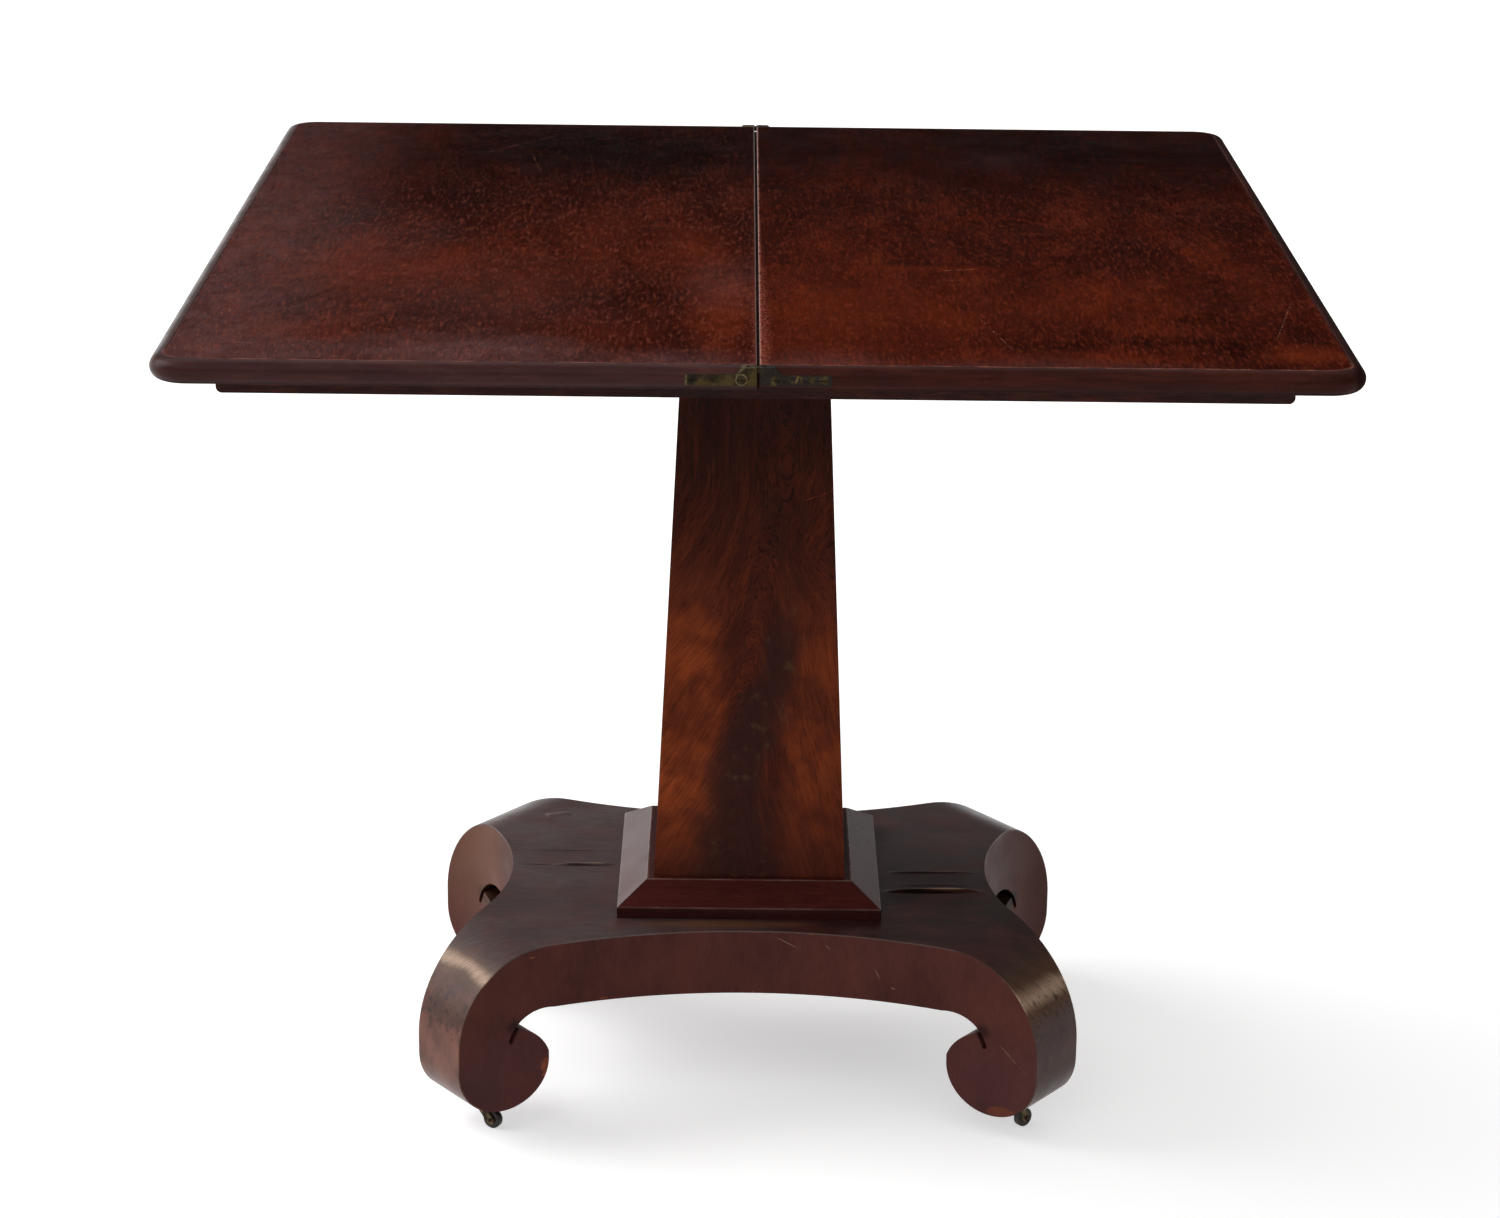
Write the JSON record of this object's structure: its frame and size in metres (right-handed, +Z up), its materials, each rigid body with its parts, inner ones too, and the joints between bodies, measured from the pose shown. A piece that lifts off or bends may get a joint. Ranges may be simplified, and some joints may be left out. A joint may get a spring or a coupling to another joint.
{
  "type": "games table",
  "caption": "Square games table: hinged folding top that swivels over a storage well, on a tapered column with scroll feet and casters.",
  "frame": {"origin": "on the floor, under the middle of the open top", "axes": "+X to the right across the seam between the leaves, +Y to the back along the seam, +Z up"},
  "size_m": [0.868, 0.914, 0.73],
  "materials": {
    "top_veneer": "polished dark red-brown mahogany, figured, worn at the seam",
    "edge_mahogany": "polished dark mahogany, half-round edge",
    "leaf_underside": "plain, unpolished",
    "frame_mahogany": "polished dark mahogany",
    "column_mahogany": "polished mahogany crotch veneer",
    "plinth_mahogany": "polished dark mahogany",
    "base_mahogany": "worn dark mahogany",
    "base_veneer": "worn satin mahogany veneer",
    "plain_wood": "bare secondary wood",
    "hinge_brass": "tarnished",
    "hinge_screw": "tarnished",
    "iron": "dark, dull",
    "caster_brass": "tarnished",
    "caster_wheel": "dark, worn"
  },
  "bodies": {
    "pedestal": {"frame_front_rail": "frame_mahogany", "frame_back_rail": "frame_mahogany", "frame_left_rail": "frame_mahogany", "frame_right_rail": "frame_mahogany", "frame_bearer": "plain_wood", "pivot_rail": "plain_wood", "well_bottom": "plain_wood", "well_ledgers": "plain_wood", "frame_corner_blocks": "plain_wood", "column_front_board": "column_mahogany", "column_right_board": "column_mahogany", "column_back_board": "column_mahogany", "column_left_board": "column_mahogany", "column_top_block": "plain_wood", "column_bottom_block": "plain_wood", "column_top_screws": "iron", "column_bottom_screws": "iron", "plinth_front_moulding": "plinth_mahogany", "plinth_right_moulding": "plinth_mahogany", "plinth_back_moulding": "plinth_mahogany", "plinth_left_moulding": "plinth_mahogany", "platform_core": "base_mahogany", "platform_veneer": "base_veneer", "scroll_foot_front_left": "base_mahogany", "scroll_foot_front_right": "base_mahogany", "scroll_foot_back_left": "base_mahogany", "scroll_foot_back_right": "base_mahogany", "foot_veneers": "base_veneer", "caster_sockets": "caster_brass"},
    "lower_leaf": {"lower_leaf_core": "leaf_underside", "lower_leaf_playing_veneer": "top_veneer", "lower_leaf_edge": "edge_mahogany", "lower_hinge_plates": "hinge_brass", "lower_hinge_pins": "hinge_brass", "lower_hinge_screws": "hinge_screw", "pivot_plate": "iron", "pivot_bolt": "iron", "pivot_washer": "iron", "pivot_nut": "iron", "pivot_plate_screws": "iron"},
    "hinge_links": {"hinge_links": "hinge_brass"},
    "upper_leaf": {"upper_leaf_core": "leaf_underside", "upper_leaf_playing_veneer": "top_veneer", "upper_leaf_show_veneer": "top_veneer", "upper_leaf_edge": "edge_mahogany", "upper_hinge_plates": "hinge_brass", "upper_hinge_pins": "hinge_brass", "upper_hinge_screws": "hinge_screw"},
    "caster_fork_front_left": {"caster_fork_front_left": "caster_brass", "caster_axle_front_left": "iron"},
    "caster_wheel_front_left": {"caster_wheel_front_left": "caster_wheel"},
    "caster_fork_front_right": {"caster_fork_front_right": "caster_brass", "caster_axle_front_right": "iron"},
    "caster_wheel_front_right": {"caster_wheel_front_right": "caster_wheel"},
    "caster_fork_back_left": {"caster_fork_back_left": "caster_brass", "caster_axle_back_left": "iron"},
    "caster_wheel_back_left": {"caster_wheel_back_left": "caster_wheel"},
    "caster_fork_back_right": {"caster_fork_back_right": "caster_brass", "caster_axle_back_right": "iron"},
    "caster_wheel_back_right": {"caster_wheel_back_right": "caster_wheel"}
  },
  "joints": [
    {"name": "top_swivel", "type": "hinge", "parent": "pedestal", "child": "lower_leaf", "pos_m": [0.10875, 0.10875, 0.712], "axis": [0, 0, 1], "range_deg": [-90, 0]},
    {"name": "upper_leaf_fold", "type": "hinge", "parent": "lower_leaf", "child": "upper_leaf", "pos_m": [0, 0, 0.7305], "axis": [0, 1, 0], "range_deg": [0, 180]},
    {"name": "hinge_link_turn", "type": "hinge", "parent": "lower_leaf", "child": "hinge_links", "pos_m": [0.003, 0, 0.7275], "axis": [0, 1, 0], "range_deg": [0, 90]},
    {"name": "caster_swivel_front_left", "type": "hinge", "parent": "pedestal", "child": "caster_fork_front_left", "pos_m": [-0.22236, -0.16102, 0.0245], "axis": [0, 0, 1], "continuous": true},
    {"name": "caster_roll_front_left", "type": "hinge", "parent": "caster_fork_front_left", "child": "caster_wheel_front_left", "pos_m": [-0.21197, -0.16702, 0.008], "axis": [0.5, 0.866, 0], "continuous": true},
    {"name": "caster_swivel_front_right", "type": "hinge", "parent": "pedestal", "child": "caster_fork_front_right", "pos_m": [0.22236, -0.16102, 0.0245], "axis": [0, 0, 1], "continuous": true},
    {"name": "caster_roll_front_right", "type": "hinge", "parent": "caster_fork_front_right", "child": "caster_wheel_front_right", "pos_m": [0.23155, -0.15331, 0.008], "axis": [-0.6428, 0.766, 0], "continuous": true},
    {"name": "caster_swivel_back_left", "type": "hinge", "parent": "pedestal", "child": "caster_fork_back_left", "pos_m": [-0.22236, 0.16102, 0.0245], "axis": [0, 0, 1], "continuous": true},
    {"name": "caster_roll_back_left", "type": "hinge", "parent": "caster_fork_back_left", "child": "caster_wheel_back_left", "pos_m": [-0.23364, 0.16512, 0.008], "axis": [-0.342, -0.9397, 0], "continuous": true},
    {"name": "caster_swivel_back_right", "type": "hinge", "parent": "pedestal", "child": "caster_fork_back_right", "pos_m": [0.22236, 0.16102, 0.0245], "axis": [0, 0, 1], "continuous": true},
    {"name": "caster_roll_back_right", "type": "hinge", "parent": "caster_fork_back_right", "child": "caster_wheel_back_right", "pos_m": [0.22547, 0.17261, 0.008], "axis": [-0.9659, 0.2588, 0], "continuous": true}
  ],
  "couplings": [
    {"joint": "hinge_link_turn", "follows": "upper_leaf_fold", "ratio": 0.5}
  ]
}
